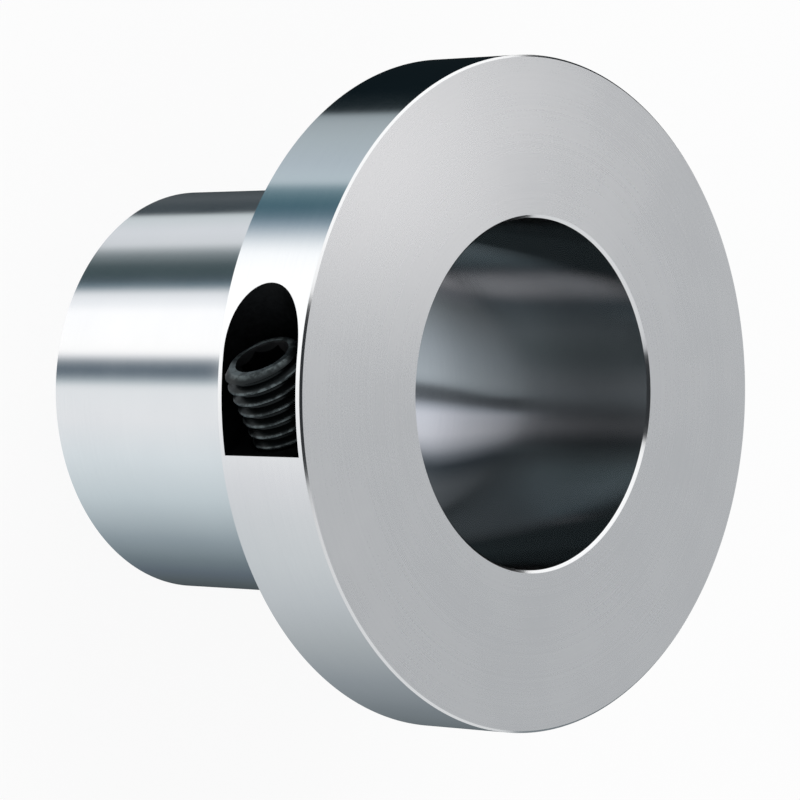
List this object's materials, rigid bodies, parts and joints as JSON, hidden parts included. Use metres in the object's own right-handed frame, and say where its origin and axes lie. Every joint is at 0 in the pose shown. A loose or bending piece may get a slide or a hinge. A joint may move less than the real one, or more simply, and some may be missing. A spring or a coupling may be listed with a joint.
{
  "type": "hydraulic shaft locking assembly",
  "caption": "Flanged double-walled steel sleeve that clamps a shaft and a hub when a chordal pressure screw in its rim drives a sealed piston into a closed ring chamber.",
  "frame": {"origin": "centre of the sleeve's free end, on which the part stands", "axes": "+Z along the shaft bore from the sleeve's end up to the flange's face; +X along the pressure screw, the way it is driven in; the screw lies on the -Y side of the bore"},
  "size_m": [0.096, 0.096, 0.068],
  "materials": {
    "ground_steel": "fine turned and ground",
    "bore_steel": "honed",
    "pressure_fluid": "thick grease",
    "black_oxide_steel": "black oxide, lightly oiled",
    "piston_steel": "ground",
    "seal_rubber": "moulded",
    "backup_plastic": "plain white PTFE"
  },
  "bodies": {
    "housing": {"flanged_sleeve": "ground_steel", "inner_sleeve": "bore_steel", "pressure_medium": "pressure_fluid"},
    "piston_set": {"pressure_piston": "piston_steel", "piston_o_ring": "seal_rubber", "piston_backup_ring": "backup_plastic"},
    "screw": {"pressure_screw": "black_oxide_steel"}
  },
  "joints": [
    {"name": "piston_slide", "type": "slide", "parent": "housing", "child": "piston_set", "axis": [1, 0, 0], "range_m": [0, 0.007]},
    {"name": "screw_turn", "type": "hinge", "parent": "piston_set", "child": "screw", "pos_m": [0, -0.0365, 0.06], "axis": [1, 0, 0], "range_deg": [0, 1440]}
  ],
  "couplings": [
    {"joint": "piston_slide", "follows": "screw_turn", "m_per_rad": 0.00027852}
  ]
}
